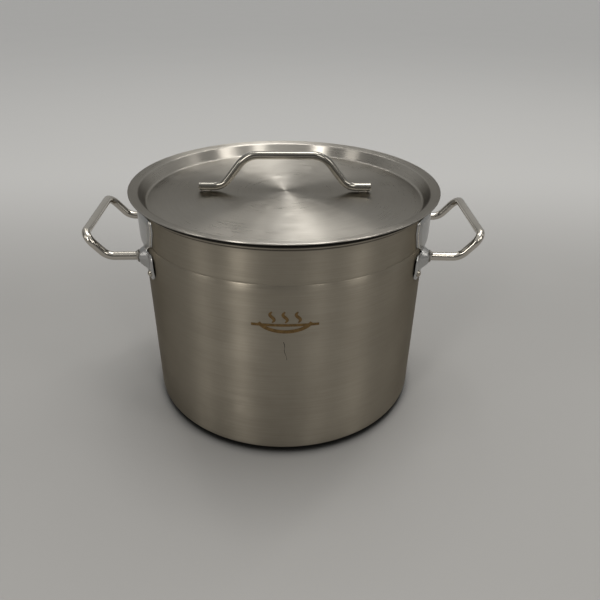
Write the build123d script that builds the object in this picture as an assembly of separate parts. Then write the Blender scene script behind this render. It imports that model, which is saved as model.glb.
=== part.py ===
from build123d import *
import os
from math import cos, hypot, radians, sin, tan

# Commercial stainless steel stock pot with a drop-in lid, in millimetres.
# Origin: on the pot's axis, on the surface that it stands on.  +Z is up, +X runs through
# the two side handles, and -Y is the front.

# ---- driving dimensions -------------------------------------------------------------
# Pot shell
inner_radius = 140.0          # the pot is sold as 28 cm across
wall = 1.0                    # sheet of the shell
rim_top = 222.5               # height of the rolled rim's crown
rim_bead_radius = 2.1         # rolled rim, flush with the inside wall
line_groove_height = 186.0     # shallow ring rolled into the wall below the rim
line_groove_depth = 0.25
line_groove_radius = 1.5       # section of the ring
corner_radius = 6.0           # outside radius between wall and bottom

# Sandwich base
base_radius = 131.0           # steel cap over the aluminium disc
base_cap_sheet = 0.6
base_core_thickness = 3.4
base_cap_corner = 1.5

# Lid
lid_sheet = 0.8
lid_edge_radius = 150.0       # outer edge of the flange
flange_inner_radius = 141.0   # where the flange turns down into the recess
flange_inner_height = 225.3   # top face there
flange_slope = 10.0           # degrees, rising outwards
lid_wall_angle = 27.0         # degrees from vertical
lid_floor_height = 213.9      # top face at the foot of the recess wall
lid_dome_rise = 2.4           # crown of the lid's floor above its edge
lid_crease_radius = 3.0
lid_shoulder_radius = 1.6
lid_hem_width = 3.6           # edge folded under

# Handle rod, shared by all three handles
rod_diameter = 8.0

# Lid handle, in the X-Z plane
lid_handle_half_length = 85.0
lid_handle_foot_corner = 61.5   # where the foot turns up
lid_handle_top_corner = 37.5    # where the slanted leg meets the bar
lid_handle_top_height = 251.3   # rod's centre line
lid_handle_foot_gap = 0.5       # under the feet, filled by the weld
lid_handle_foot_bend = 18.0
lid_handle_top_bend = 24.0
lid_weld_length = 10.0
lid_weld_from_end = 2.0
lid_weld_half_width = 3.0
lid_weld_height = 1.7

# Side handles
handle_lead = 2.2             # degrees that each side handle sits forward of the X axis
arm_spacing = 102.0           # centre to centre of the two arms
arm_height = 171.5            # centre line where the arm leaves its bracket
arm_root_x = 139.0            # face of the bracket's boss
arm_bend_x = 168.5            # where the arm turns up
crossbar_x = 187.0
crossbar_height = 193.0
arm_bend_radius = 15.0
crossbar_bend_radius = 11.0

# Handle brackets, stamped from sheet and riveted to the wall
bracket_sheet = 1.2
panel_standoff = 2.9          # raised upper panel: outer face from the wall
panel_half_width = 75.2
panel_top = 215.5
panel_bottom = 181.0
panel_waist_y = 70.0          # where the panel's edge turns in towards the notch
panel_waist_height = 188.5
panel_shoulder_height = 204.0
panel_bends = (2.0, 7.0, 14.0, 6.0)   # corner radii, from the notch up to the top
plate_arch_height = 175.0     # bottom edge between the two lobes
lobe_bottom = 151.0
lobe_top = 178.5
lobe_outer_y = 70.0
lobe_inner_y = 40.5
notch_y = 56.5                # bottom of the notch between panel and lobe
plate_bends = (7.0, 9.0, 12.0, 7.0, 1.5, 1.0)   # corner radii, from the arch to the notch
boss_depth = 12.5             # boss is drawn this deep from its top face
boss_top_radius = 6.0         # flat that the rod's end meets
boss_top_tail_radius = 3.2    # end of that flat, further down
boss_top_tail_drop = 6.5
boss_base_radius = 12.5       # the same two at the boss's base
boss_base_tail_radius = 6.5
boss_base_tail_drop = 14.0
boss_base_tail_shift = 1.0    # the tail leans outwards

# Rivets
rivet_angle = 25.1            # degrees from the handle's own axis, each side
rivet_height = 157.5
rivet_shank_radius = 2.0
rivet_head_radius = 3.4
rivet_head_rise = 3.0
rivet_tail_radius = 3.6
rivet_tail_thickness = 1.1

# Weld beads at the side handles' roots
weld_leg = 2.0                # width of the fillet around the rod
weld_nugget_radius = 2.4

# ---- derived sizes ------------------------------------------------------------------
rod_radius = rod_diameter / 2
outer_radius = inner_radius + wall
shell_underside = base_cap_sheet + base_core_thickness
pot_floor = shell_underside + wall
bead_centre_radius = inner_radius + rim_bead_radius
bead_centre_height = rim_top - rim_bead_radius
plate_outer_radius = outer_radius + bracket_sheet
panel_outer_radius = outer_radius + panel_standoff
recess_depth = flange_inner_height - lid_floor_height
lid_floor_radius = flange_inner_radius - recess_depth * tan(radians(lid_wall_angle))
lid_crown_height = lid_floor_height + lid_dome_rise
flange_rise = (lid_edge_radius - flange_inner_radius) * tan(radians(flange_slope))


def lid_floor_at(radius):
    """Height of the lid's domed floor, top face, at a radius."""
    return lid_crown_height - lid_dome_rise * (radius / lid_floor_radius) ** 2


lid_foot_height = lid_floor_at(lid_handle_foot_corner) + lid_handle_foot_gap + rod_radius


# ---- helpers ------------------------------------------------------------------------
def round_ring(solid, corner, radius):
    """Round the circular edge of a turned solid that runs nearest to (radius, height)."""

    def miss(edge):
        return hypot(edge.radius - corner[0], edge.arc_center.Z - corner[1])

    rings = solid.edges().filter_by(GeomType.CIRCLE)
    return fillet([min(rings, key=miss)], radius)


def offset_corner(corner, normal_a, normal_b, distance):
    """Corner of the line that runs a distance beside two meeting lines."""
    scale = distance / (1 + normal_a[0] * normal_b[0] + normal_a[1] * normal_b[1])
    x = corner[0] + (normal_a[0] + normal_b[0]) * scale
    z = corner[1] + (normal_a[1] + normal_b[1]) * scale
    return (x, z)


def section_points(points):
    """Points of an X-Z section as space points."""
    return [(x, 0, z) for x, z in points]


def rod_along(path):
    """Round rod with its centre line on a path."""
    start = Plane(origin=path @ 0, z_dir=path % 0)
    return sweep(start * Circle(rod_radius), path=path)


def tube_wall(inner, outer, low, high):
    """Ring between two radii and two heights."""
    ring = Circle(outer) - Circle(inner)
    return extrude(Plane.XY.offset(low) * ring, amount=high - low)


def outline_prism(outline, low_x, high_x):
    """Solid over a Y-Z outline, between two distances along +X."""
    return extrude(Plane.YZ.offset(low_x) * outline, amount=high_x - low_x)


def mirrored_outline(half, bends):
    """Y-Z outline from the corners of its +Y half, each with its own bend radius."""
    corners = half + [(-y, z) for y, z in reversed(half)]
    return make_face(FilletPolyline(*corners, radius=bends + bends[::-1], close=True))


# ---- pot ----------------------------------------------------------------------------
def make_pot_shell():
    """Drawn shell: bottom, wall and rolled rim in one sheet."""
    base = (Align.CENTER, Align.CENTER, Align.MIN)
    wall_top = bead_centre_height
    outside = Pos(0, 0, shell_underside) * Cylinder(outer_radius, wall_top - shell_underside, align=base)
    outside = round_ring(outside, (outer_radius, shell_underside), corner_radius)
    inside = Pos(0, 0, pot_floor) * Cylinder(inner_radius, wall_top - pot_floor, align=base)
    inside = round_ring(inside, (inner_radius, pot_floor), corner_radius - wall)
    bead = Pos(0, 0, bead_centre_height) * Torus(bead_centre_radius, rim_bead_radius)
    shell = outside - inside + bead
    groove_centre = outer_radius + line_groove_radius - line_groove_depth
    shell -= Pos(0, 0, line_groove_height) * Torus(groove_centre, line_groove_radius)
    for angle in (rivet_angle - handle_lead, -rivet_angle - handle_lead):
        shell -= rivet_hole(angle)
        shell -= rivet_hole(180 - angle)
    return shell


def make_base_core():
    """Aluminium disc that spreads the heat, sealed under the bottom."""
    radius = base_radius - base_cap_sheet
    disc = extrude(Plane.XY.offset(base_cap_sheet) * Circle(radius), amount=base_core_thickness)
    return fillet(disc.edges().group_by(Axis.Z)[0], base_cap_corner - base_cap_sheet)


def make_base_cap():
    """Steel cap pressed over the aluminium disc."""
    blank = extrude(Circle(base_radius), amount=shell_underside)
    blank = fillet(blank.edges().group_by(Axis.Z)[0], base_cap_corner)
    return blank - make_base_core()


# ---- side handles, built for the +X side ---------------------------------------------
def rivet_hole(angle):
    """Hole for a rivet's shank through wall and bracket."""
    plane = Plane(origin=(0, 0, rivet_height), z_dir=(cos(radians(angle)), sin(radians(angle)), 0))
    hole = extrude(plane * Circle(rivet_shank_radius), amount=outer_radius * 1.1)
    return hole - Cylinder(inner_radius * 0.9, rim_top * 2)


def panel_outline(inset):
    """Raised upper panel of the bracket, set in from its edge."""
    half = [
        (notch_y - inset, panel_bottom + inset),
        (panel_waist_y - inset, panel_waist_height),
        (panel_half_width - inset, panel_shoulder_height),
        (panel_half_width - inset, panel_top - inset),
    ]
    bends = panel_bends[:-1] + (panel_bends[-1] - inset,)
    return mirrored_outline(half, bends)


def plate_outline():
    """Flat part of the bracket, on the wall: neck, arch and two rivet lobes."""
    half = [
        (lobe_inner_y, plate_arch_height),
        (lobe_inner_y, lobe_bottom),
        (lobe_outer_y, lobe_bottom),
        (lobe_outer_y, lobe_top),
        (notch_y, lobe_top),
        (notch_y, panel_bottom + 1.0),
    ]
    return mirrored_outline(half, plate_bends)


def boss_solid(inset):
    """Ridge drawn out under a rod's end and down beside the rivet, at the front arm."""
    y = arm_spacing / 2

    def ridge(head_radius, tail_y, tail_drop, tail_radius):
        head = CenterArc((y, arm_height), head_radius - inset, 0, 360)
        tail = CenterArc((tail_y, arm_height - tail_drop), tail_radius - inset, 0, 360)
        return make_hull([head.edge(), tail.edge()])

    top = ridge(boss_top_radius, y, boss_top_tail_drop, boss_top_tail_radius)
    base = ridge(boss_base_radius, y + boss_base_tail_shift, boss_base_tail_drop, boss_base_tail_radius)
    top_plane = Plane.YZ.offset(arm_root_x - inset)
    base_plane = Plane.YZ.offset(arm_root_x - inset - boss_depth)
    return loft([base_plane * base, top_plane * top], ruled=True)


def make_bracket():
    """Stamped bracket: raised panel, flat lobes and two bosses."""
    low_x = outer_radius * 0.7
    high_x = outer_radius * 1.1
    plate = outline_prism(plate_outline(), low_x, high_x)
    plate &= tube_wall(outer_radius, plate_outer_radius, 0, rim_top)
    panel = outline_prism(panel_outline(0), low_x, high_x)
    panel &= tube_wall(outer_radius, panel_outer_radius, 0, rim_top)
    hollow = outline_prism(panel_outline(bracket_sheet), low_x, high_x)
    hollow &= tube_wall(outer_radius - wall, panel_outer_radius - bracket_sheet, 0, rim_top)
    bracket = plate + (panel - hollow)
    pot_space = Cylinder(outer_radius, rim_top * 3)
    front_boss = boss_solid(0) - pot_space
    bracket += front_boss
    bracket += mirror(front_boss, about=Plane.XZ)
    front_hollow = boss_solid(bracket_sheet)
    bracket -= front_hollow
    bracket -= mirror(front_hollow, about=Plane.XZ)
    for angle in (rivet_angle, -rivet_angle):
        bracket -= rivet_hole(angle)
    return bracket


def make_side_rod():
    """Side handle: two arms out of the bracket, bent up to a crossbar."""
    y = arm_spacing / 2
    corners = [
        (arm_root_x, -y, arm_height),
        (arm_bend_x, -y, arm_height),
        (crossbar_x, -y, crossbar_height),
        (crossbar_x, y, crossbar_height),
        (arm_bend_x, y, arm_height),
        (arm_root_x, y, arm_height),
    ]
    bends = [arm_bend_radius, crossbar_bend_radius, crossbar_bend_radius, arm_bend_radius]
    return rod_along(FilletPolyline(*corners, radius=bends))


def make_side_weld(sign):
    """Weld bead round the end of one arm, with its nugget on the upper outer side."""
    root = Plane(origin=(arm_root_x, sign * arm_spacing / 2, arm_height), z_dir=(1, 0, 0))
    bead = root * Cone(rod_radius + weld_leg, rod_radius + 0.2, weld_leg,
                       align=(Align.CENTER, Align.CENTER, Align.MIN))
    nugget_y = sign * (arm_spacing / 2 + rod_radius * 0.7)
    nugget = Pos(arm_root_x + 0.6, nugget_y, arm_height + rod_radius * 0.85) * Sphere(weld_nugget_radius)
    nugget &= outline_prism(Pos(nugget_y, arm_height) * Circle(rod_radius * 3), arm_root_x, arm_root_x * 1.1)
    rod = root * Cylinder(rod_radius, arm_root_x * 0.1, align=(Align.CENTER, Align.CENTER, Align.MIN))
    return bead + nugget - rod


def make_rivet(angle):
    """Rivet with a domed head outside and a flat head inside the pot."""
    direction = (cos(radians(angle)), sin(radians(angle)), 0)
    axis = Plane(origin=(0, 0, rivet_height), z_dir=direction)
    base = Align.MIN
    centred = (Align.CENTER, Align.CENTER, base)
    dome_radius = (rivet_head_radius ** 2 + rivet_head_rise ** 2) / (2 * rivet_head_rise)
    dome = axis * Pos(0, 0, plate_outer_radius + rivet_head_rise - dome_radius) * Sphere(dome_radius)
    dome &= axis * Pos(0, 0, plate_outer_radius - 0.2) * Cylinder(rivet_head_radius, 4.0, align=centred)
    dome -= Cylinder(plate_outer_radius, rim_top * 3)
    shank_start = inner_radius - rivet_tail_thickness
    shank_length = plate_outer_radius - shank_start
    shank = axis * Pos(0, 0, shank_start) * Cylinder(rivet_shank_radius, shank_length, align=centred)
    tail = axis * Pos(0, 0, shank_start) * Cylinder(rivet_tail_radius, 3.0, align=centred)
    tail &= Cylinder(inner_radius, rim_top * 3)
    return dome + shank + tail


# ---- lid ----------------------------------------------------------------------------
def make_lid_shell():
    """Lid: domed floor, recess wall, rising flange and folded edge."""
    wall_lean = radians(lid_wall_angle)
    slope = radians(flange_slope)
    floor_fall = 2 * lid_dome_rise / lid_floor_radius
    under_floor = (-floor_fall / hypot(1, floor_fall), -1 / hypot(1, floor_fall))
    under_wall = (cos(wall_lean), -sin(wall_lean))
    under_flange = (sin(slope), -cos(slope))
    floor_corner = (lid_floor_radius, lid_floor_height)
    shoulder = (flange_inner_radius, flange_inner_height)
    edge_run = lid_edge_radius - lid_sheet
    edge = (edge_run, flange_inner_height + (edge_run - flange_inner_radius) * tan(slope))
    low_floor_corner = offset_corner(floor_corner, under_floor, under_wall, lid_sheet)
    low_shoulder = offset_corner(shoulder, under_wall, under_flange, lid_sheet)
    low_edge = (edge[0] + under_flange[0] * lid_sheet, edge[1] + under_flange[1] * lid_sheet)
    half = lid_floor_radius / 2
    top_arc = ThreePointArc(*section_points([(0, lid_crown_height), (half, lid_floor_at(half)), floor_corner]))
    low_arc = ThreePointArc(*section_points([
        low_floor_corner, (half, lid_floor_at(half) - lid_sheet), (0, lid_crown_height - lid_sheet)]))
    rest = Polyline(*section_points([floor_corner, shoulder, edge, low_edge, low_shoulder, low_floor_corner]))
    axis_line = Line(*section_points([(0, lid_crown_height - lid_sheet), (0, lid_crown_height)]))
    section = make_face(top_arc + rest + low_arc + axis_line)
    shell = revolve(section, Axis.Z)
    shell = round_ring(shell, floor_corner, lid_crease_radius)
    shell = round_ring(shell, low_floor_corner, lid_crease_radius + lid_sheet)
    shell = round_ring(shell, shoulder, lid_shoulder_radius + lid_sheet)
    shell = round_ring(shell, low_shoulder, lid_shoulder_radius)
    hem_centre = Pos(edge[0], 0, edge[1]) * Rot(0, -flange_slope, 0)
    hem = Pos(-lid_hem_width, 0, -lid_sheet) * Rot(90, 0, 0) * Rectangle(
        lid_hem_width, lid_sheet * 2, align=(Align.MIN, Align.CENTER))
    nose = Pos(0, 0, -lid_sheet) * Rot(90, 0, 0) * Circle(lid_sheet)
    shell += revolve(hem_centre * hem, Axis.Z)
    shell += revolve(hem_centre * nose, Axis.Z)
    return shell


def make_lid_handle():
    """Lid handle: one rod with flat feet, slanted legs and a straight bar."""
    half = [
        (lid_handle_half_length, lid_foot_height),
        (lid_handle_foot_corner, lid_foot_height),
        (lid_handle_top_corner, lid_handle_top_height),
    ]
    corners = [(-x, 0, z) for x, z in half] + [(x, 0, z) for x, z in reversed(half)]
    bends = [lid_handle_foot_bend, lid_handle_top_bend, lid_handle_top_bend, lid_handle_foot_bend]
    return rod_along(FilletPolyline(*corners, radius=bends))


def make_lid_weld(sign, lid_shell, lid_handle):
    """Weld along the underside of one foot, between the rod and the lid."""
    centre = sign * (lid_handle_half_length - lid_weld_from_end - lid_weld_length / 2)
    low = lid_floor_at(lid_handle_half_length) - lid_sheet / 2
    blank = Pos(centre, 0, low) * Box(
        lid_weld_length, lid_weld_half_width * 2, lid_weld_height + lid_sheet,
        align=(Align.CENTER, Align.CENTER, Align.MIN))
    blank = chamfer(blank.edges().group_by(Axis.Z)[-1], lid_weld_height * 0.7)
    pieces = (blank - lid_shell - lid_handle).solids()
    return pieces.sort_by(Axis.Z)[-1]


# ---- assembly -----------------------------------------------------------------------
pieces = {
    "pot_shell": make_pot_shell(),
    "base_core": make_base_core(),
    "base_cap": make_base_cap(),
    "lid_shell": make_lid_shell(),
    "lid_handle": make_lid_handle(),
}
for name, sign in (("left", -1), ("right", 1)):
    pieces["lid_weld_" + name] = make_lid_weld(sign, pieces["lid_shell"], pieces["lid_handle"])

right_side = {
    "handle_bracket": make_bracket(),
    "handle_rod": make_side_rod(),
}
for name, sign in (("front", -1), ("rear", 1)):
    right_side["handle_weld_" + name] = make_side_weld(sign)
    right_side["rivet_" + name] = make_rivet(sign * rivet_angle)

for name, piece in right_side.items():
    placed = Rot(0, 0, -handle_lead) * piece
    pieces["right_" + name] = placed
    pieces["left_" + name] = mirror(placed, about=Plane.YZ)

os.makedirs("parts", exist_ok=True)
for name, piece in pieces.items():
    solids = piece.solids()
    print(name, len(solids), "solid(s)", round(sum(solid.volume for solid in solids)), "mm3")
    shape = solids[0] if len(solids) == 1 else Compound(children=list(solids))
    export_step(shape, "parts/" + name + ".step")
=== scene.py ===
import bpy
import math
import numpy as np
from mathutils import Matrix, Vector, noise


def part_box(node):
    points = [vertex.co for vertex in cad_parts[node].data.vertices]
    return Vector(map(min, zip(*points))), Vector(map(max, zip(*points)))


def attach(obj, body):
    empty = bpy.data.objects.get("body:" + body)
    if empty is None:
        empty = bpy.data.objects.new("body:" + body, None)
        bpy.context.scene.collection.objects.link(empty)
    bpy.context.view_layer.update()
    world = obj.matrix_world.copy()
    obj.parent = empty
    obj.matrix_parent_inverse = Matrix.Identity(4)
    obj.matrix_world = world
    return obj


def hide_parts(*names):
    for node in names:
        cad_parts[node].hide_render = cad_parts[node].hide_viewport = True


# Looks for a stainless steel stock pot with a drop-in lid.  Everything is in metres, in the
# CAD's frame: the pot's axis is Z, the side handles lie near X, and the front faces -Y.

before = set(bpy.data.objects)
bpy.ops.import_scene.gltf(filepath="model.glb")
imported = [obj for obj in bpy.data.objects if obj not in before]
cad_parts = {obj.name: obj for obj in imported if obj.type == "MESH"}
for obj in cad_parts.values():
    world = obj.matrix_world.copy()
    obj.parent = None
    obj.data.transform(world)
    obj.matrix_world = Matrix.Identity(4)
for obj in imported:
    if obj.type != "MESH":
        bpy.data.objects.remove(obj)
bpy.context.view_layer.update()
MM = 0.001

# ---- sizes that the looks share with the design ---------------------------------------
SHELL_LOW, SHELL_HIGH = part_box("pot_shell")
RIM_TOP = SHELL_HIGH.z
SHELL_BOTTOM = SHELL_LOW.z
INNER_RADIUS = 140.0 * MM
WALL = 1.0 * MM
OUTER_RADIUS = INNER_RADIUS + WALL
RIM_BEAD = 2.1 * MM
BOTTOM_CORNER = 6.0 * MM
GROOVE_HEIGHT = 186.0 * MM       # shallow ring rolled into the wall
GROOVE_DEPTH = 0.25 * MM
GROOVE_RADIUS = 1.5 * MM

LID_SHEET = 0.8 * MM
LID_EDGE_RADIUS = 150.0 * MM
FLANGE_INNER_RADIUS = 141.0 * MM  # where the flange turns down into the recess
FLANGE_INNER_HEIGHT = 225.3 * MM
FLANGE_SLOPE = math.radians(10.0)
LID_WALL_LEAN = math.radians(27.0)
LID_FLOOR_HEIGHT = 213.9 * MM
LID_DOME_RISE = 2.4 * MM
LID_RECESS = FLANGE_INNER_HEIGHT - LID_FLOOR_HEIGHT
LID_FLOOR_RADIUS = FLANGE_INNER_RADIUS - LID_RECESS * math.tan(LID_WALL_LEAN)

ROD_RADIUS = 4.0 * MM
LID_FOOT_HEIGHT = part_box("lid_handle")[0].z + ROD_RADIUS   # centre line of the lid bar's feet
LID_BAR_HEIGHT = 251.3 * MM
LID_BAR_END_X = 85.0 * MM
LID_BAR_FOOT_X = 61.5 * MM       # where the foot turns up
LID_BAR_TOP_X = 37.5 * MM        # where the slanted leg meets the bar
LID_BAR_BENDS = (18 * MM, 24 * MM, 24 * MM, 18 * MM)
LID_WELD_X = (73.0 * MM, 83.0 * MM)

HANDLE_LEAD = math.radians(2.2)  # the side handles sit a little forward of the X axis
ARM_Y = 51.0 * MM
ARM_Z = 171.5 * MM
ARM_ROOT_X = 139.0 * MM          # face of the bracket's boss
ARM_BEND_X = 168.5 * MM          # where the arm turns up
CROSSBAR_X = 187.0 * MM
CROSSBAR_Z = 193.0 * MM
GRIP_BENDS = (15 * MM, 11 * MM, 11 * MM, 15 * MM)

BRACKET_SHEET = 1.2 * MM
PANEL_STANDOFF = 2.9 * MM
PANEL_EDGE_THICKNESS = 0.62 * MM

RIVET_ANGLE = math.radians(25.1)  # from the handle's own axis
RIVET_HEIGHT = 157.5 * MM
RIVET_HEAD_RADIUS = 3.4 * MM
RIVET_HEAD_RISE = 3.0 * MM
RIVET_SHANK_RADIUS = 2.0 * MM
RIVET_TAIL_RADIUS = 3.6 * MM
RIVET_TAIL_THICKNESS = 1.1 * MM

MARK_HEIGHT = 150.0 * MM
MARK_LIFT = 0.15 * MM            # above the wall
SCUFF_LIFT = 0.12 * MM

AROUND = 256                     # segments of the turned pieces
ROD_SIDES = 40
AXIS_GAP = 0.4 * MM              # turned profiles stop this short of the axis


# ---- mesh helpers ---------------------------------------------------------------------
def new_piece(name, vertices, faces, body, nodes, material, smooth_angle=40.0):
    """A mesh piece that rides on a body and stands for CAD nodes."""
    mesh = bpy.data.meshes.new(name)
    mesh.from_pydata([tuple(v) for v in vertices], [], [tuple(f) for f in faces])
    mesh.validate()
    mesh.update()
    piece = bpy.data.objects.new(name, mesh)
    bpy.context.scene.collection.objects.link(piece)
    mesh.materials.append(material)
    mesh.polygons.foreach_set("use_smooth", [True] * len(mesh.polygons))
    mesh.set_sharp_from_angle(angle=math.radians(smooth_angle))
    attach(piece, body)
    if nodes:
        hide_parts(*nodes)
    return piece


def arc(centre, radius, start, end, count):
    """Points of an arc in a plane, angles in degrees."""
    angles = np.radians(np.linspace(start, end, count))
    return [(centre[0] + radius * math.cos(a), centre[1] + radius * math.sin(a)) for a in angles]


def stretch(start, end, count):
    """Evenly spaced points from start to end, without the end."""
    return [(start[0] + (end[0] - start[0]) * i / count, start[1] + (end[1] - start[1]) * i / count)
            for i in range(count)]


def lathe(profile, ripple=None):
    """Vertices and faces of a closed (radius, height) profile turned about Z.
    ripple(angle, radius, height) adds a little to a radius."""
    vertices, faces = [], []
    count = len(profile)
    for step in range(AROUND):
        angle = 2 * math.pi * step / AROUND
        for radius, height in profile:
            r = radius + (ripple(angle, radius, height) if ripple else 0.0)
            vertices.append((r * math.cos(angle), r * math.sin(angle), height))
    for step in range(AROUND):
        near = step * count
        far = ((step + 1) % AROUND) * count
        for i in range(count):
            j = (i + 1) % count
            faces.append((near + i, far + i, far + j, near + j))
    return vertices, faces


def rounded_path(corners, bends, per_bend):
    """A 2-D or 3-D path through its corners, each rounded with an arc."""
    points = [Vector(c) for c in corners]
    path = [points[0]]
    for before, corner, after, bend in zip(points, points[1:], points[2:], bends):
        into = (before - corner).normalized()
        out = (after - corner).normalized()
        half = into.angle(out) / 2
        centre = corner + (into + out).normalized() * (bend / math.sin(half))
        start = corner + into * (bend / math.tan(half)) - centre
        end = corner + out * (bend / math.tan(half)) - centre
        for i in range(per_bend + 1):
            path.append(centre + swing(start, end, i / per_bend))
    path.append(points[-1])
    return path


def swing(start, end, share):
    """Turn from one vector towards another of the same length."""
    whole = start.angle(end)
    if whole < 1e-6:
        return start.lerp(end, share)
    return (start * math.sin((1 - share) * whole) + end * math.sin(share * whole)) / math.sin(whole)


def rod(path, name, body, nodes, material, thickness=ROD_RADIUS, sides=ROD_SIDES):
    """Round bar along a path, with eased ends."""
    ease = thickness / 8
    points = [path[0], path[0].lerp(path[1], ease / (path[1] - path[0]).length)]
    points += list(path[1:-1])
    points += [path[-1].lerp(path[-2], ease / (path[-2] - path[-1]).length), path[-1]]
    radii = [thickness - ease] + [thickness] * (len(points) - 2) + [thickness - ease]
    normal = (points[1] - points[0]).orthogonal().normalized()
    vertices, faces = [], []
    for i, point in enumerate(points):
        ahead = points[min(i + 1, len(points) - 1)]
        behind = points[max(i - 1, 0)]
        along = (ahead - behind).normalized()
        normal = (normal - along * normal.dot(along)).normalized()
        side = along.cross(normal)
        for k in range(sides):
            turn = 2 * math.pi * k / sides
            vertices.append(point + (normal * math.cos(turn) + side * math.sin(turn)) * radii[i])
    for i in range(len(points) - 1):
        for k in range(sides):
            m = (k + 1) % sides
            a, b = i * sides, (i + 1) * sides
            faces.append((a + k, a + m, b + m, b + k))
    faces.append(tuple(reversed(range(sides))))
    last = (len(points) - 1) * sides
    faces.append(tuple(range(last, last + sides)))
    return new_piece(name, vertices, faces, body, nodes, material, 30.0)


# ---- materials ------------------------------------------------------------------------
class Graph:
    """Short way to build a node graph; a value may be a number or another node's output."""

    def __init__(self, tree):
        self.tree = tree

    def put(self, socket, value):
        if isinstance(value, bpy.types.NodeSocket):
            self.tree.links.new(value, socket)
        else:
            socket.default_value = value

    def add(self, kind, inputs=None, **settings):
        node = self.tree.nodes.new(kind)
        for key, value in settings.items():
            setattr(node, key, value)
        for key, value in (inputs or {}).items():
            self.put(node.inputs[key], value)
        return node

    def math(self, operation, a, b=0.0):
        return self.add("ShaderNodeMath", {0: a, 1: b}, operation=operation).outputs[0]

    def ramp(self, value, low, high):
        """0 at low, 1 at high, eased between; low may be the larger."""
        node = self.add("ShaderNodeMapRange", {0: value, 1: low, 2: high}, interpolation_type="SMOOTHSTEP")
        return node.outputs[0]

    def mix(self, share, a, b):
        return self.add("ShaderNodeMix", {0: share, 6: a, 7: b}, data_type="RGBA").outputs[2]

    def vector(self, x, y, z):
        return self.add("ShaderNodeCombineXYZ", {0: x, 1: y, 2: z}).outputs[0]

    def parts(self, vector):
        return self.add("ShaderNodeSeparateXYZ", {0: vector}).outputs


class Nodes(Graph):
    """A new material's graph, round its Principled shader."""

    def __init__(self, name):
        self.material = bpy.data.materials.new(name)
        self.material.use_nodes = True
        super().__init__(self.material.node_tree)
        self.shader = self.tree.nodes["Principled BSDF"]

    def noise(self, vector, scale, detail, roughness):
        node = self.add("ShaderNodeTexNoise",
                        {"Vector": vector, "Scale": scale, "Detail": detail, "Roughness": roughness})
        return node.outputs["Fac"]

    def position(self):
        """Object coordinates, then their three parts."""
        coordinates = self.add("ShaderNodeTexCoord").outputs["Object"]
        x, y, z = self.parts(coordinates)
        return coordinates, x, y, z

    def set(self, **values):
        """Set or link the shader's inputs; an underscore stands for a space."""
        for key, value in values.items():
            self.put(self.shader.inputs[key.replace("_", " ")], value)

    def bump(self, height, strength, distance):
        node = self.add("ShaderNodeBump", {"Strength": strength, "Distance": distance, "Height": height})
        self.set(Normal=node.outputs[0])


def colour(r, g, b):
    return (r, g, b, 1.0)


# Near-black colour for painted shade: dark lines under the lid's edge, round the pot's foot and under the
# lid's flange.
PAINTED_SHADE_COLOUR = colour(0.022, 0.020, 0.017)
EDGE_TINT = colour(0.32, 0.31, 0.30)     # tint of the metal's grazing reflection


def brushed_round(name, tone, dark, roughness, anisotropic, streak_length, bump, painted_shade=None):
    """Steel brushed in circles about Z: fine streaks, soft smudges, highlights that fan out.
    An optional function of (nodes, height, radius) gives the share of painted shade, from 0 to 1."""
    n = Nodes(name)
    where, x, y, z = n.position()
    radius = n.math("SQRT", n.math("ADD", n.math("MULTIPLY", x, x), n.math("MULTIPLY", y, y)))
    across = n.math("ADD", radius, z)
    along = 1.0 / streak_length
    streaks = []
    for pitch in (2.6 * MM, 0.9 * MM, 0.35 * MM):
        vector = n.vector(n.math("MULTIPLY", x, along), n.math("MULTIPLY", y, along),
                          n.math("MULTIPLY", across, 1.0 / pitch))
        streaks.append(n.noise(vector, 1.0, 2.0, 0.6))
    streak = n.math("ADD", n.math("MULTIPLY", streaks[0], 0.30), n.math("MULTIPLY", streaks[1], 0.40))
    streak = n.math("ADD", streak, n.math("MULTIPLY", streaks[2], 0.30))
    smear = n.noise(where, 14.0, 4.0, 0.6)
    spots = n.ramp(n.noise(where, 55.0, 3.0, 0.5), 0.60, 0.74)
    shade = n.math("MULTIPLY", n.ramp(streak, 0.38, 0.62), 0.45)
    shade = n.math("ADD", shade, n.math("MULTIPLY", n.ramp(smear, 0.3, 0.7), 0.55))
    steel = n.mix(shade, dark, tone)
    rough = n.math("ADD", roughness, n.math("MULTIPLY", n.math("SUBTRACT", streak, 0.5), 0.22))
    rough = n.math("ADD", rough, n.math("MULTIPLY", n.math("SUBTRACT", smear, 0.5), 0.20))
    rough = n.math("ADD", rough, n.math("MULTIPLY", spots, 0.06))
    rough = n.math("MAXIMUM", rough, roughness * 0.88)
    metallic = 1.0
    # Painted shade: where the given function says so, the steel turns near-black, rougher and less metallic.
    if painted_shade:
        shade_share = painted_shade(n, z, radius)
        steel = n.mix(shade_share, steel, PAINTED_SHADE_COLOUR)
        rough = n.math("MAXIMUM", rough, n.math("MULTIPLY", shade_share, 0.85))
        metallic = n.math("SUBTRACT", 1.0, n.math("MULTIPLY", shade_share, 0.9))
    tangent = n.add("ShaderNodeTangent", direction_type="RADIAL", axis="Z").outputs[0]
    n.set(Base_Color=steel, Roughness=rough, Metallic=metallic)
    n.set(Anisotropic=anisotropic, Anisotropic_Rotation=0.25, Tangent=tangent)
    n.set(Specular_Tint=EDGE_TINT)
    n.bump(streak, bump, 0.02 * MM)
    return n.material


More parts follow.
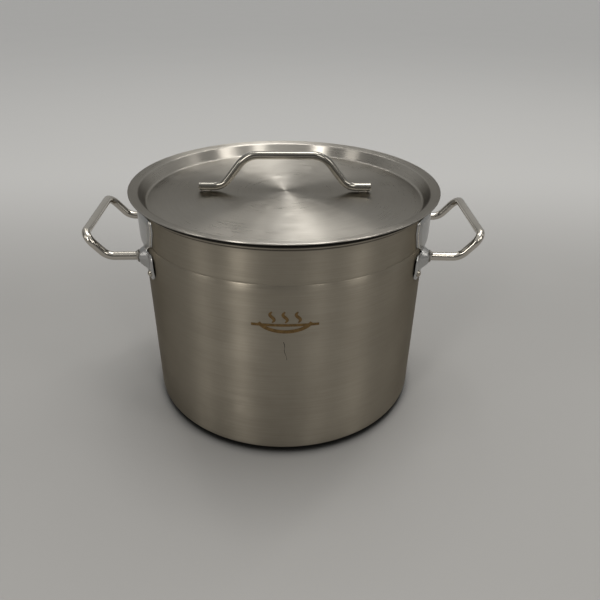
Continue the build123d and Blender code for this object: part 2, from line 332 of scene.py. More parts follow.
def polished(name, tone, dark, roughness, scale):
    """Polished steel with faint polishing haze and fine scratches."""
    n = Nodes(name)
    where, x, y, z = n.position()
    haze = n.noise(where, scale, 5.0, 0.6)
    stretched = n.vector(n.math("MULTIPLY", x, 90.0), n.math("MULTIPLY", y, 90.0),
                         n.math("MULTIPLY", z, 1400.0))
    lines = n.ramp(n.noise(stretched, 1.0, 2.0, 0.5), 0.58, 0.75)
    n.set(Base_Color=n.mix(n.ramp(haze, 0.3, 0.7), dark, tone), Metallic=1.0)
    rough = n.math("ADD", roughness, n.math("MULTIPLY", n.math("SUBTRACT", haze, 0.5), roughness * 0.35))
    rough = n.math("ADD", rough, n.math("MULTIPLY", lines, roughness * 0.3))
    n.set(Roughness=rough)
    return n.material


def weld_material():
    """Weld metal: matt grey ripples with a faint straw and blue heat tint."""
    n = Nodes("weld_bead_steel")
    where, x, y, z = n.position()
    tint = n.noise(where, 220.0, 4.0, 0.6)
    warm = n.mix(n.ramp(tint, 0.35, 0.55), colour(0.22, 0.21, 0.20), colour(0.44, 0.42, 0.38))
    cool = n.mix(n.ramp(tint, 0.58, 0.75), warm, colour(0.25, 0.25, 0.28))
    n.set(Base_Color=cool, Metallic=1.0)
    grain = n.noise(where, 1500.0, 4.0, 0.6)
    n.set(Roughness=n.math("ADD", 0.26, n.math("MULTIPLY", grain, 0.25)))
    n.bump(grain, 0.5, 0.1 * MM)
    return n.material


def aluminium_material():
    """Sheared aluminium disc: pale, matt, with rolling marks."""
    n = Nodes("base_core_aluminium")
    where, x, y, z = n.position()
    rolled = n.vector(n.math("MULTIPLY", x, 25.0), n.math("MULTIPLY", y, 900.0), n.math("MULTIPLY", z, 900.0))
    lines = n.noise(rolled, 1.0, 3.0, 0.6)
    n.set(Base_Color=n.mix(lines, colour(0.62, 0.62, 0.62), colour(0.78, 0.78, 0.77)), Metallic=1.0)
    n.set(Roughness=n.math("ADD", 0.34, n.math("MULTIPLY", lines, 0.2)))
    n.bump(lines, 0.3, 0.05 * MM)
    return n.material


def etched_mark_material():
    """Bronze-tinted etching, slightly mottled, still a little glossy."""
    n = Nodes("etched_mark_tint")
    where, x, y, z = n.position()
    mottle = n.noise(where, 420.0, 4.0, 0.65)
    wear = n.ramp(n.noise(where, 1700.0, 3.0, 0.6), 0.55, 0.8)
    tint = n.mix(n.ramp(mottle, 0.35, 0.68), colour(0.112, 0.064, 0.019), colour(0.189, 0.115, 0.039))
    n.set(Base_Color=n.mix(wear, tint, colour(0.238, 0.179, 0.099)), Metallic=0.55)
    n.set(Roughness=n.math("ADD", 0.42, n.math("MULTIPLY", mottle, 0.2)))
    n.bump(mottle, 0.2, 0.03 * MM)
    return n.material


def scratch_material():
    """Dark smear of a scuff on the shell."""
    n = Nodes("scuff_tint")
    where, x, y, z = n.position()
    mottle = n.noise(where, 900.0, 3.0, 0.6)
    n.set(Base_Color=n.mix(mottle, colour(0.03, 0.028, 0.024), colour(0.10, 0.09, 0.075)), Metallic=0.4)
    n.set(Roughness=n.math("ADD", 0.4, n.math("MULTIPLY", mottle, 0.3)))
    return n.material


def shell_painted_shade(n, height, radius):
    """Painted shade on the rim's crown and in the hollow below the rim, where the lid's edge shades the pot,
    and round the foot of the wall, where it meets the floor.
    """
    crown = n.math("MULTIPLY", n.ramp(height, 219.9 * MM, 220.7 * MM), n.ramp(radius, 142.4 * MM, 143.2 * MM))
    hollow = n.math("MULTIPLY", n.ramp(height, 216.0 * MM, 217.0 * MM),
                    n.ramp(height, 219.2 * MM, 218.5 * MM))
    hollow = n.math("MULTIPLY", hollow, n.ramp(radius, 140.4 * MM, 140.8 * MM))
    foot = n.math("MULTIPLY", n.ramp(height, 8.4 * MM, 7.0 * MM), 0.95)
    return n.math("MAXIMUM", n.math("MAXIMUM", crown, foot), n.math("MULTIPLY", hollow, 0.75))


def lid_painted_shade(n, height, radius):
    """Painted shade on the underside of the lid's flange, on faces turned downwards."""
    facing = n.parts(n.add("ShaderNodeNewGeometry").outputs["Normal"])[2]
    return n.math("MULTIPLY", n.ramp(facing, -0.05, -0.45), n.ramp(radius, 139.0 * MM, 142.0 * MM))


BODY_STEEL = brushed_round("shell_brushed_steel", colour(0.395, 0.357, 0.293), colour(0.318, 0.287, 0.234),
                           roughness=0.36, anisotropic=0.93, streak_length=0.05, bump=0.35, painted_shade=shell_painted_shade)
LID_STEEL = brushed_round("lid_brushed_steel", colour(0.56, 0.535, 0.49), colour(0.47, 0.447, 0.405),
                          roughness=0.31, anisotropic=0.98, streak_length=0.035, bump=0.20, painted_shade=lid_painted_shade)
BASE_STEEL = brushed_round("base_cap_steel", colour(0.34, 0.325, 0.30), colour(0.24, 0.23, 0.21),
                           roughness=0.42, anisotropic=0.5, streak_length=0.03, bump=0.5)
ROD_STEEL = polished("rod_polished_steel", colour(0.56, 0.53, 0.475), colour(0.50, 0.47, 0.42),
                     roughness=0.15, scale=30.0)
# Painted shade: a darker copy of the polished rod steel, so the lid's bar looks darker than the side handles'
# bars.
LID_BAR_SHADED_STEEL = polished("lid_bar_shaded_steel", colour(0.345, 0.33, 0.295), colour(0.275, 0.262, 0.235),
                         roughness=0.13, scale=30.0)
RIVET_STEEL = polished("rivet_polished_steel", colour(0.50, 0.465, 0.40), colour(0.38, 0.35, 0.30),
                       roughness=0.15, scale=150.0)
BRACKET_STEEL = polished("bracket_satin_steel", colour(0.46, 0.46, 0.455), colour(0.425, 0.425, 0.42),
                         roughness=0.33, scale=22.0)
EDGE_STEEL = polished("bracket_edge_steel", colour(0.70, 0.665, 0.60), colour(0.60, 0.57, 0.51),
                      roughness=0.24, scale=60.0)
WELD_STEEL = weld_material()
CORE_ALUMINIUM = aluminium_material()
MARK_TINT = etched_mark_material()
SCUFF_TINT = scratch_material()


# ---- pot shell ------------------------------------------------------------------------
def wall_wave(angle, radius, height):
    """The drawn wall is a few hundredths of a millimetre out of round."""
    if radius < OUTER_RADIUS * 0.9:
        return 0.0
    where = Vector((math.cos(angle) * 2.2, math.sin(angle) * 2.2, height * 9.0))
    return noise.noise(where) * 0.10 * MM


def make_pot_shell():
    bead = (INNER_RADIUS + RIM_BEAD, RIM_TOP - RIM_BEAD)
    floor = SHELL_BOTTOM + WALL
    under_corner = (OUTER_RADIUS - BOTTOM_CORNER, SHELL_BOTTOM + BOTTOM_CORNER)
    groove = (OUTER_RADIUS + GROOVE_RADIUS - GROOVE_DEPTH, GROOVE_HEIGHT)
    half_turn = math.degrees(math.acos((GROOVE_RADIUS - GROOVE_DEPTH) / GROOVE_RADIUS))
    above = GROOVE_HEIGHT + 2 * MM
    outside = [(AXIS_GAP, SHELL_BOTTOM)]
    outside += stretch((0.02, SHELL_BOTTOM), (under_corner[0], SHELL_BOTTOM), 6)
    outside += arc(under_corner, BOTTOM_CORNER, -90, 0, 10)
    outside += stretch((OUTER_RADIUS, under_corner[1] + 6 * MM), (OUTER_RADIUS, GROOVE_HEIGHT - 2 * MM), 24)
    outside += arc(groove, GROOVE_RADIUS, 180 + half_turn, 180 - half_turn, 9)
    outside += stretch((OUTER_RADIUS, above), (OUTER_RADIUS, bead[1] - RIM_BEAD - 1.5 * MM), 5)
    outside += [(OUTER_RADIUS, bead[1] - RIM_BEAD - 0.4 * MM)]
    outside += [(OUTER_RADIUS + 0.15 * MM, bead[1] - RIM_BEAD + 0.1 * MM)]
    outside += arc(bead, RIM_BEAD, -80, 180, 26)
    inside = stretch((INNER_RADIUS, bead[1] - 4 * MM), (INNER_RADIUS, floor + BOTTOM_CORNER), 24)
    inside += arc((INNER_RADIUS - 5 * MM, floor + 5 * MM), 5 * MM, 0, -90, 9)
    inside += [(0.10, floor), (0.06, floor), (AXIS_GAP, floor)]
    vertices, faces = lathe(outside + inside, wall_wave)
    return new_piece("pot_body", vertices, faces, "pot", ["pot_shell"], BODY_STEEL, 50.0)


# ---- lid ------------------------------------------------------------------------------
def beside(point, normal_a, normal_b, distance):
    """Corner of the line that runs a distance beside two meeting lines."""
    scale = distance / (1 + normal_a[0] * normal_b[0] + normal_a[1] * normal_b[1])
    return (point[0] + (normal_a[0] + normal_b[0]) * scale, point[1] + (normal_a[1] + normal_b[1]) * scale)


def lid_floor_at(radius):
    """Height of the lid's domed floor, top face."""
    return LID_FLOOR_HEIGHT + LID_DOME_RISE * (1 - (radius / LID_FLOOR_RADIUS) ** 2)


def lid_ripple(angle, radius, height):
    """Pressed sheet: the flange's edge is a little wavy."""
    if radius < LID_FLOOR_RADIUS:
        return 0.0
    return noise.noise(Vector((math.cos(angle) * 2.0, math.sin(angle) * 2.0, 5.0))) * 0.12 * MM


def make_lid_shell():
    under_floor = (-2 * LID_DOME_RISE / LID_FLOOR_RADIUS, -1.0)
    under_wall = (math.cos(LID_WALL_LEAN), -math.sin(LID_WALL_LEAN))
    under_flange = (math.sin(FLANGE_SLOPE), -math.cos(FLANGE_SLOPE))
    nose_radius = LID_SHEET
    floor_corner = (LID_FLOOR_RADIUS, LID_FLOOR_HEIGHT)
    shoulder = (FLANGE_INNER_RADIUS, FLANGE_INNER_HEIGHT)
    run = LID_EDGE_RADIUS - nose_radius
    edge = (run, FLANGE_INNER_HEIGHT + (run - FLANGE_INNER_RADIUS) * math.tan(FLANGE_SLOPE))
    nose = (edge[0] + under_flange[0] * nose_radius, edge[1] + under_flange[1] * nose_radius)
    low_shoulder = beside(shoulder, under_wall, under_flange, LID_SHEET)
    low_floor = beside(floor_corner, under_floor, under_wall, LID_SHEET)
    shares = (0.05, 0.12, 0.2, 0.3, 0.42, 0.54, 0.66, 0.78, 0.88, 0.94)
    rings = [AXIS_GAP] + [LID_FLOOR_RADIUS * share for share in shares]
    top_floor = [(r, lid_floor_at(r)) for r in rings]
    top = rounded_path([top_floor[-1], floor_corner, shoulder, edge], [3.0 * MM, 2.4 * MM], 9)
    along = math.degrees(FLANGE_SLOPE)
    lip = arc(nose, nose_radius, 90 + along, -90 + along, 11)
    hem_inner = (nose[0] - 3.4 * MM + under_flange[0] * nose_radius * 0.9,
                 nose[1] - 0.6 * MM - 0.9 * nose_radius)
    under_start = (hem_inner[0] - 0.6 * MM, hem_inner[1] + 0.75 * MM)
    low_rings = list(reversed(rings))
    low_end = (low_rings[0], lid_floor_at(low_rings[0]) - LID_SHEET)
    low = rounded_path([under_start, low_shoulder, low_floor, low_end], [1.6 * MM, 3.8 * MM], 9)
    profile = top_floor[:-1] + [tuple(p) for p in top[:-1]] + lip + [hem_inner]
    profile += [tuple(p) for p in low] + [(r, lid_floor_at(r) - LID_SHEET) for r in low_rings[1:]]
    vertices, faces = lathe(profile, lid_ripple)
    return new_piece("lid_dish", vertices, faces, "lid", ["lid_shell"], LID_STEEL, 50.0)


def make_lid_handle():
    half = [(LID_BAR_END_X, LID_FOOT_HEIGHT), (LID_BAR_FOOT_X, LID_FOOT_HEIGHT),
            (LID_BAR_TOP_X, LID_BAR_HEIGHT)]
    corners = [(-x, 0, z) for x, z in half] + [(x, 0, z) for x, z in reversed(half)]
    return rod(rounded_path(corners, LID_BAR_BENDS, 14), "lid_bar", "lid", ["lid_handle"], LID_BAR_SHADED_STEEL)


def make_lid_weld(side, sign):
    """A ragged bead along the underside of a foot."""
    start, end = LID_WELD_X
    rings, sides = 26, 18
    vertices, faces = [], []
    for i in range(rings):
        share = i / (rings - 1)
        x = sign * (start + (end - start) * share)
        ground = lid_floor_at(abs(x))
        swell = math.sin(math.pi * min(max(share, 0.02), 0.98)) ** 0.35
        lump = 1.0 + 0.16 * noise.noise(Vector((x * 900, 3.0 * sign, 1.0)))
        half_width = 2.7 * MM * swell * lump
        height = (LID_FOOT_HEIGHT - ROD_RADIUS * 0.72 - ground) * swell * lump
        for k in range(sides):
            turn = 2 * math.pi * k / sides
            c, s = math.cos(turn), math.sin(turn)
            y = half_width * math.copysign(abs(c) ** 0.8, c)
            z = ground - 0.15 * MM + height * 0.5 * (1 + math.copysign(abs(s) ** 0.8, s))
            vertices.append((x, y, z))
    for i in range(rings - 1):
        for k in range(sides):
            m = (k + 1) % sides
            faces.append((i * sides + k, i * sides + m, (i + 1) * sides + m, (i + 1) * sides + k))
    faces.append(tuple(range(sides)))
    faces.append(tuple(reversed(range((rings - 1) * sides, rings * sides))))
    return new_piece("lid_foot_weld_" + side, vertices, faces, "lid", ["lid_weld_" + side],
                     WELD_STEEL)


# ---- side handles ---------------------------------------------------------------------
def lead(point, sign):
    """Turn a point of a side handle forward, about the pot's axis."""
    return Matrix.Rotation(-sign * HANDLE_LEAD, 3, "Z") @ Vector(point)


def make_side_rod(side, sign):
    root_x = ARM_ROOT_X - 1.0 * MM
    half = [(root_x, ARM_Z), (ARM_BEND_X, ARM_Z), (CROSSBAR_X, CROSSBAR_Z)]
    corners = [(sign * x, -ARM_Y, z) for x, z in half] + [(sign * x, ARM_Y, z) for x, z in reversed(half)]
    path = [lead(point, sign) for point in rounded_path(corners, GRIP_BENDS, 16)]
    return rod(path, side + "_grip_bar", "pot", [side + "_handle_rod"], ROD_STEEL)


def outline(half, bends):
    """Closed outline in (y, z) from the corners of its +Y half, each rounded."""
    corners = [Vector(c) for c in half] + [Vector((-y, z)) for y, z in reversed(half)]
    bends = list(bends) + list(reversed(bends))
    ring = corners[-1:] + corners + corners[:1]
    points = []
    for before, corner, after, bend in zip(ring, ring[1:], ring[2:], bends):
        middle_in, middle_out = (before + corner) / 2, (corner + after) / 2
        points += rounded_path([middle_in, corner, middle_out], [bend], 10)[1:-1]
    return np.array([(p.x, p.y) for p in points])


def inside_distance(points, polygon):
    """How far points lie inside a closed polygon; negative outside."""
    start = polygon
    span = np.roll(polygon, -1, axis=0) - start
    nearest = np.full(len(points), 1e9)
    inside = np.zeros(len(points), bool)
    for a, d in zip(start, span):
        length = max(d @ d, 1e-18)
        rel = points - a
        t = np.clip(rel @ d / length, 0, 1)
        nearest = np.minimum(nearest, np.hypot(*(rel - t[:, None] * d).T))
        crosses = (points[:, 1] < a[1]) != (points[:, 1] < a[1] + d[1])
        rise = d[1] if d[1] != 0 else 1e-12
        inside ^= crosses & (points[:, 0] < a[0] + (points[:, 1] - a[1]) / rise * d[0])
    return np.where(inside, nearest, -nearest)


def smooth(value, low, high):
    t = np.clip((value - low) / (high - low), 0, 1)
    return t * t * (3 - 2 * t)


# the bracket's two outlines, as (y, z) corners of the +Y half and the radius at each
PANEL = outline([(56.5 * MM, 181.0 * MM), (70.0 * MM, 188.5 * MM),
                 (75.2 * MM, 204.0 * MM), (75.2 * MM, 215.5 * MM)],
                [2 * MM, 7 * MM, 4.9 * MM, 4.9 * MM])
PLATE = outline([(40.5 * MM, 175.0 * MM), (40.5 * MM, 151.0 * MM), (70.0 * MM, 151.0 * MM),
                 (70.0 * MM, 178.5 * MM), (56.5 * MM, 178.5 * MM), (56.5 * MM, 182.0 * MM)],
                [7 * MM, 9 * MM, 12 * MM, 7 * MM, 1.5 * MM, 1.0 * MM])


def bracket_height(y, z):
    """Height of the bracket's outer face above the pot's wall."""
    points = np.stack([y, z], axis=1)
    panel = inside_distance(points, PANEL)
    height = BRACKET_SHEET + (PANEL_STANDOFF - BRACKET_SHEET) * smooth(panel, -0.5 * MM, 4.0 * MM)
    side = np.abs(y)
    edge_lift = smooth(side, 58 * MM, 69 * MM) * smooth(z, 155 * MM, 163 * MM)
    edge_lift = edge_lift * (1 - smooth(z, 174 * MM, 181 * MM))
    height = height + 1.2 * MM * edge_lift
    # the ridge: full height at the rod, falling away over the next 14 mm
    down = np.clip((ARM_Z - z) / (14.0 * MM), 0, 1)
    away = np.hypot(side - (ARM_Y + 1.0 * MM * down), z - (ARM_Z - 14.0 * MM * down))
    base = (11.0 - 5.2 * down) * MM
    top = (5.4 - 3.2 * np.clip(down * 2.1, 0, 1)) * MM
    share = smooth(base - away, 0.0, base - top) * (1 - smooth(down, 0.35, 1.02))
    wall_x = np.sqrt(np.maximum((OUTER_RADIUS + height) ** 2 - y ** 2, 1e-9))
    lift = np.maximum(ARM_ROOT_X - 0.1 * MM - wall_x, 0) * share
    return height + lift * (wall_x / (OUTER_RADIUS + height))


def make_bracket(side, sign):
    """Stamped plate: raised panel, two lobes with a drawn ridge, edges eased."""
    pitch = 0.75 * MM
    ys = np.arange(-78 * MM, 78.1 * MM, pitch)
    zs = np.arange(147.75 * MM, 218 * MM, pitch)
    grid_y, grid_z = np.meshgrid(ys, zs, indexing="ij")
    points = np.stack([grid_y.ravel(), grid_z.ravel()], axis=1)

    def depth(p):
        return np.maximum(inside_distance(p, PANEL), inside_distance(p, PLATE))

    distance = depth(points)
    close = np.abs(distance) < pitch * 0.72   # grid points that move onto the outline
    step = 0.05 * MM
    for _ in range(3):
        near = points[close]
        here = depth(near)
        slope_y = (depth(near + [step, 0]) - depth(near - [step, 0])) / (2 * step)
        slope_z = (depth(near + [0, step]) - depth(near - [0, step])) / (2 * step)
        size = np.maximum(slope_y ** 2 + slope_z ** 2, 0.25)
        points[close] = near - np.stack([slope_y, slope_z], axis=1) * (here / size)[:, None]
    keep = (distance > -pitch * 0.72).reshape(grid_y.shape)
    cell = keep[:-1, :-1] & keep[1:, :-1] & keep[1:, 1:] & keep[:-1, 1:]
    index = np.arange(len(points)).reshape(grid_y.shape)
    quads = np.stack([index[:-1, :-1], index[1:, :-1], index[1:, 1:], index[:-1, 1:]], axis=-1)[cell]
    used = np.unique(quads)
    lookup = -np.ones(len(points), int)
    lookup[used] = np.arange(len(used))
    quads = lookup[quads]
    flat = points[used]
    height = bracket_height(flat[:, 0], flat[:, 1])
    inset = depth(flat)
    ease = 0.35 * MM
    rounding = ease - np.sqrt(np.maximum(ease ** 2 - np.maximum(ease - inset, 0) ** 2, 0))
    radius_out = OUTER_RADIUS + height - rounding
    radius_in = OUTER_RADIUS + np.maximum(height - BRACKET_SHEET, 0.02 * MM)

    def on_wall(radius):
        x = np.sqrt(np.maximum(radius ** 2 - flat[:, 0] ** 2, 1e-9))
        return np.array([lead((sign * a, b, c), sign) for a, b, c in zip(x, flat[:, 0], flat[:, 1])])

    count = len(flat)
    vertices = np.concatenate([on_wall(radius_out), on_wall(radius_in)])
    if sign < 0:
        quads = quads[:, ::-1]
    faces = [tuple(q) for q in quads] + [tuple(q[::-1] + count) for q in quads]
    edges = {}
    for q in quads:
        for a, b in zip(q, np.roll(q, -1)):
            edges[(a, b)] = True
    for a, b in edges:
        if (b, a) not in edges:
            faces.append((b, a, a + count, b + count))
    return new_piece(side + "_bracket_plate", vertices, faces, "pot", [side + "_handle_bracket"],
                     BRACKET_STEEL, 55.0)


def make_panel_edge(side, end, sign, turn_sign):
    """Polished edge of the bracket's panel, from the lid down to the notch."""
    edge = [point for point in PANEL if point[0] > 50 * MM and point[1] < 214.5 * MM]
    edge.sort(key=lambda point: -point[1])
    spaced = [edge[0]]
    for point in edge[1:]:
        if math.dist(point, spaced[-1]) > 1.2 * MM:
            spaced.append(point)
    path = []
    for y, z in spaced:
        y = (y - PANEL_EDGE_THICKNESS) * turn_sign
        radius = OUTER_RADIUS + float(bracket_height(np.array([y]), np.array([z]))[0]) - 0.25 * MM
        path.append(lead((sign * math.sqrt(radius ** 2 - y ** 2), y, z), sign))
    return rod(path, f"{side}_panel_edge_{end}", "pot", [], EDGE_STEEL,
               PANEL_EDGE_THICKNESS, 14)


def make_rivet(side, end, sign, turn_sign):
    """Domed head outside, flat head inside, one turned piece along its axis."""
    angle = RIVET_ANGLE * turn_sign - HANDLE_LEAD
    angle = angle if sign > 0 else math.pi - angle
    direction = Vector((math.cos(angle), math.sin(angle), 0.0))
    sideways = Vector((-math.sin(angle), math.cos(angle), 0.0))
    up = Vector((0, 0, 1))
    seat = OUTER_RADIUS + BRACKET_SHEET
    tail_face = INNER_RADIUS - RIVET_TAIL_THICKNESS
    profile = [(0.0, tail_face), (RIVET_TAIL_RADIUS - 0.4 * MM, tail_face)]
    profile += [(RIVET_TAIL_RADIUS, tail_face + 0.3 * MM), (RIVET_TAIL_RADIUS, INNER_RADIUS)]
    profile += [(RIVET_SHANK_RADIUS, INNER_RADIUS + 0.1 * MM), (RIVET_SHANK_RADIUS, seat - 0.15 * MM)]
    profile += [(RIVET_HEAD_RADIUS, seat - 0.12 * MM)]
    for a in np.linspace(0.0, math.pi / 2, 12):
        profile.append((RIVET_HEAD_RADIUS * max(math.cos(a), 0.0), seat + RIVET_HEAD_RISE * math.sin(a)))
    sides = 32
    vertices, faces = [], []
    for k in range(sides):
        turn = 2 * math.pi * k / sides
        out = sideways * math.cos(turn) + up * math.sin(turn)
        for radius, distance in profile:
            vertices.append(direction * distance + out * radius + up * RIVET_HEIGHT)
    count = len(profile)
    for k in range(sides):
        m = (k + 1) % sides
        for i in range(count - 1):
            faces.append((k * count + i, k * count + i + 1, m * count + i + 1, m * count + i))
    return new_piece(f"{side}_rivet_head_{end}", vertices, faces, "pot", [f"{side}_rivet_{end}"],
                     RIVET_STEEL, 50.0)


def make_side_weld(side, end, sign, turn_sign):
    """Ragged fillet bead round the rod's root, with a larger nugget where the weld ended."""
    around, across = 72, 14
    vertices, faces = [], []
    nugget_turn = math.radians(52.0)
    for i in range(around):
        turn = 2 * math.pi * i / around
        where = Vector((math.cos(turn) * 2.4, math.sin(turn) * 2.4, 7.0 * sign + turn_sign))
        lump = 1.0 + 0.22 * noise.noise(where)
        lump += 0.05 * math.sin(turn * 17)
        gap = math.atan2(math.sin(turn - nugget_turn), math.cos(turn - nugget_turn))
        lump += 1.15 * math.exp(-(gap / 0.42) ** 2)
        for k in range(across):
            bead = 2 * math.pi * k / across
            out = ROD_RADIUS + 0.2 * MM + 1.15 * MM * lump * (0.55 + math.cos(bead))
            along = 0.55 * MM + 1.05 * MM * lump * math.sin(bead)
            y = turn_sign * (ARM_Y + out * math.cos(turn))
            z = ARM_Z + out * math.sin(turn)
            vertices.append(lead((sign * (ARM_ROOT_X + along), y, z), sign))
    for i in range(around):
        j = (i + 1) % around
        for k in range(across):
            m = (k + 1) % across
            faces.append((i * across + k, i * across + m, j * across + m, j * across + k))
    return new_piece(f"{side}_root_bead_{end}", vertices, faces, "pot", [f"{side}_handle_weld_{end}"],
                     WELD_STEEL, 80.0)


# ---- marks on the shell ----------------------------------------------------------------
def wrap(points, lift):
    """Flat (sideways, height) points laid on the front of the wall."""
    radius = OUTER_RADIUS + lift
    return [(radius * math.sin(u / radius), -radius * math.cos(u / radius), v) for u, v in points]


def band_patch(centre_line, widths, lift):
    """Strip of faces along a flat line, with a width at each point."""
    left, right = [], []
    for i, point in enumerate(centre_line):
        ahead = centre_line[min(i + 1, len(centre_line) - 1)]
        behind = centre_line[max(i - 1, 0)]
        along = Vector((ahead[0] - behind[0], ahead[1] - behind[1])).normalized()
        across = Vector((-along.y, along.x)) * (widths[i] / 2)
        left.append((point[0] + across.x, point[1] + across.y))
        right.append((point[0] - across.x, point[1] - across.y))
    vertices = wrap(left, lift) + wrap(right, lift)
    count = len(centre_line)
    faces = [(i, i + 1, count + i + 1, count + i) for i in range(count - 1)]
    return vertices, faces


def make_mark():
    """A plain etched sign for a hot pot: three steam waves over a bowl."""
    vertices, faces = [], []

    def add(line, widths):
        more, quads = band_patch(line, widths, MARK_LIFT)
        start = len(vertices)
        vertices.extend(more)
        faces.extend([tuple(start + i for i in quad) for quad in quads])

    middle = MARK_HEIGHT
    for column in (-11.0, 0.0, 11.0):
        shares = np.linspace(0, 1, 22)
        line = [((column + 1.8 * math.sin(2 * math.pi * s)) * MM, middle + (0.5 + 10.5 * s) * MM)
                for s in shares]
        add(line, [(3.0 * math.sin(math.pi * min(max(s, 0.06), 0.94)) ** 0.45) * MM for s in shares])
    turns = np.linspace(math.radians(200), math.radians(340), 34)
    bowl = [(24.0 * math.cos(t) * MM, middle + (4.5 + 13.0 * math.sin(t)) * MM) for t in turns]
    add(bowl, [3.4 * MM] * len(bowl))
    rim = [(u * MM, middle - 2.0 * MM) for u in np.linspace(-29, 29, 30)]
    add(rim, [2.6 * MM] * len(rim))
    return new_piece("front_mark", vertices, faces, "pot", [], MARK_TINT)


def make_scuff():
    """Short dark scuff below the mark."""
    shares = np.linspace(0, 1, 24)
    line = [((-1.5 + 2.6 * s + 0.5 * math.sin(9 * s)) * MM, (131.0 - 19.0 * s) * MM) for s in shares]
    widths = [(0.25 + 0.55 * abs(math.sin(7.0 * s + 0.6)) * (1 - 0.6 * s)) * MM for s in shares]
    vertices, faces = band_patch(line, widths, SCUFF_LIFT)
    return new_piece("front_scuff", vertices, faces, "pot", [], SCUFF_TINT)


# ---- the object ------------------------------------------------------------------------
make_pot_shell()
make_lid_shell()
make_lid_handle()
for side, sign in (("left", -1), ("right", 1)):
    make_lid_weld(side, sign)
    make_side_rod(side, sign)
    make_bracket(side, sign)
    for end, turn_sign in (("front", -1), ("rear", 1)):
        make_rivet(side, end, sign, turn_sign)
        make_side_weld(side, end, sign, turn_sign)
        make_panel_edge(side, end, sign, turn_sign)
make_mark()
make_scuff()
for node, material in (("base_cap", BASE_STEEL), ("base_core", CORE_ALUMINIUM)):
    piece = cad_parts[node]
    for slot_index in range(len(piece.material_slots)):
        piece.material_slots[slot_index].material = material


# ---- floor, world and lights -----------------------------------------------------------
def make_floor():
    """Plain pale floor, a large disc, with painted contact shadow in the narrow gap under the pot's edge."""
    radius, count = 60.0, 96
    vertices = [(0.0, 0.0, 0.0)]
    rings = [0.5, 1.5, 4.0, 15.0, radius]
    for r in rings:
        vertices += [(r * math.cos(2 * math.pi * i / count), r * math.sin(2 * math.pi * i / count), 0.0)
                     for i in range(count)]
    faces = [(0, 1 + i, 1 + (i + 1) % count) for i in range(count)]
    for ring in range(len(rings) - 1):
        a, b = 1 + ring * count, 1 + (ring + 1) * count
        faces += [(a + i, b + i, b + (i + 1) % count, a + (i + 1) % count) for i in range(count)]
    mesh = bpy.data.meshes.new("studio_floor")
    mesh.from_pydata(vertices, [], faces)
    floor = bpy.data.objects.new("studio_floor", mesh)
    bpy.context.scene.collection.objects.link(floor)
    n = Nodes("pale_floor")
    where, x, y, z = n.position()
    cloud = n.noise(where, 3.0, 3.0, 0.5)
    near = n.mix(cloud, colour(0.315, 0.311, 0.304), colour(0.345, 0.341, 0.334))
    pale = n.mix(n.ramp(y, 0.10, 0.75), near, colour(0.52, 0.52, 0.515))
    # Painted contact shadow: an ambient-occlusion mask turns the floor near-black where the pot's edge hangs
    # close over it.
    contact_shade = n.add("ShaderNodeAmbientOcclusion", {"Distance": 0.022}, samples=12).outputs["AO"]
    n.set(Base_Color=n.mix(n.ramp(contact_shade, 0.30, 0.72), colour(0.010, 0.010, 0.009), pale))
    n.set(Roughness=n.math("ADD", 0.5, n.math("MULTIPLY", cloud, 0.1)))
    mesh.materials.append(n.material)


def make_world():
    """Grey room: pale at the horizon, dim in front, lighter behind the object and overhead."""
    world = bpy.data.worlds.new("studio_world")
    bpy.context.scene.world = world
    world.use_nodes = True
    g = Graph(world.node_tree)
    background = g.tree.nodes["Background"]
    x, y, z = g.parts(g.add("ShaderNodeTexCoord").outputs["Generated"])
    room = g.mix(g.ramp(y, -0.3, 0.9), colour(0.085, 0.083, 0.08), colour(0.42, 0.42, 0.412))
    low = g.mix(g.ramp(z, 0.03, 0.22), colour(0.31, 0.307, 0.30), room)
    sky = g.mix(g.ramp(z, 0.42, 0.98), low, colour(0.60, 0.595, 0.583))
    g.put(background.inputs[0], sky)
    g.put(background.inputs[1], 1.0)


def soft_box(name, azimuth, elevation, distance, width, height, power):
    """Rectangular panel that faces the pot from a direction, in degrees."""
    a, e = math.radians(azimuth), math.radians(elevation)
    target = Vector((0, 0, 0.15))
    place = target + Vector((math.cos(a) * math.cos(e), math.sin(a) * math.cos(e), math.sin(e))) * distance
    light = bpy.data.lights.new(name, "AREA")
    light.shape = "RECTANGLE"
    light.size, light.size_y = width, height
    light.energy = power
    light.color = (1.0, 0.97, 0.92)
    lamp = bpy.data.objects.new(name, light)
    bpy.context.scene.collection.objects.link(lamp)
    lamp.location = place
    lamp.rotation_euler = (target - place).to_track_quat("-Z", "Y").to_euler()


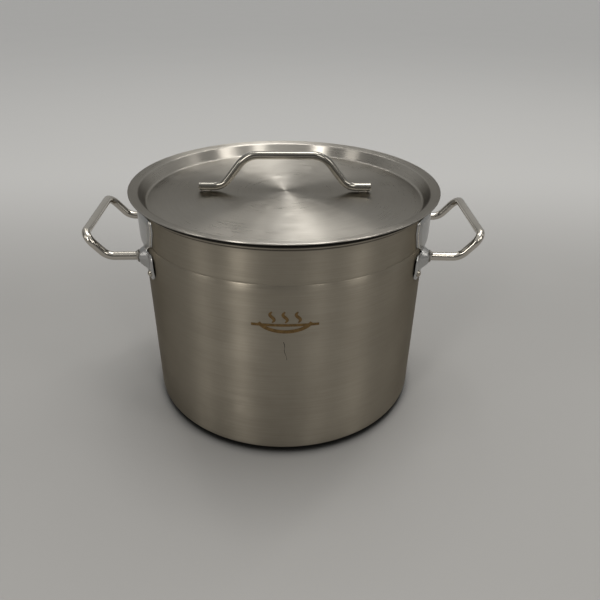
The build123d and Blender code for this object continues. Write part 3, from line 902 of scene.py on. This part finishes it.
def overhead_glow():
    """Broad soft light from above."""
    light = bpy.data.lights.new("ceiling_glow", "SUN")
    light.energy = 0.88
    light.angle = math.radians(28)
    light.color = (1.0, 0.985, 0.96)
    lamp = bpy.data.objects.new("ceiling_glow", light)
    bpy.context.scene.collection.objects.link(lamp)
    lamp.rotation_euler = (math.radians(-9), math.radians(5), 0)


make_floor()
make_world()
overhead_glow()
# name, azimuth, elevation, distance, width, height, power
for box in (
    ("ceiling_centre", 79, 60, 2.4, 0.42, 1.3, 2.1),
    ("ceiling_left", 122, 60, 2.4, 0.14, 1.3, 2.6),
    ("ceiling_right", 46, 60, 2.4, 0.12, 1.3, 5.0),
    ("front_left_tall", -124, 30, 2.4, 0.36, 1.5, 11),
    ("front_left_low", -154, 22, 2.6, 0.50, 0.9, 4),
    ("front_right_near", -64, 38, 2.4, 0.36, 1.1, 5),
    ("front_right_far", -32, 32, 2.4, 0.50, 1.1, 7),
    ("side_right", 2, 26, 2.6, 0.30, 1.0, 1.2),
):
    soft_box(*box)


# ---- camera ----------------------------------------------------------------------------
CAMERA_TURN = (0.532, 0.031, 0.016)      # pitch, yaw and roll, in radians
CAMERA_PLACE = Vector((0.0, -0.5314, 0.4026))
CAMERA_SENSOR = 36.0                     # millimetres
CAMERA_LENS = CAMERA_SENSOR * 0.925


def make_camera():
    """Phone-like wide view from in front and above."""
    pitch, yaw, roll = CAMERA_TURN
    forward = Vector((math.sin(yaw) * math.cos(pitch), math.cos(yaw) * math.cos(pitch), -math.sin(pitch)))
    level = Vector((math.cos(yaw), -math.sin(yaw), 0.0))
    upright = level.cross(forward)
    right = level * math.cos(roll) + upright * math.sin(roll)
    up = upright * math.cos(roll) - level * math.sin(roll)
    camera = bpy.data.cameras.new("camera")
    camera.sensor_width = CAMERA_SENSOR
    camera.lens = CAMERA_LENS
    camera.clip_start = 0.01
    holder = bpy.data.objects.new("camera", camera)
    bpy.context.scene.collection.objects.link(holder)
    holder.matrix_world = Matrix((
        (right.x, up.x, -forward.x, CAMERA_PLACE.x),
        (right.y, up.y, -forward.y, CAMERA_PLACE.y),
        (right.z, up.z, -forward.z, CAMERA_PLACE.z),
        (0, 0, 0, 1),
    ))
    bpy.context.scene.camera = holder


make_camera()
bpy.context.scene.view_settings.view_transform = "Standard"
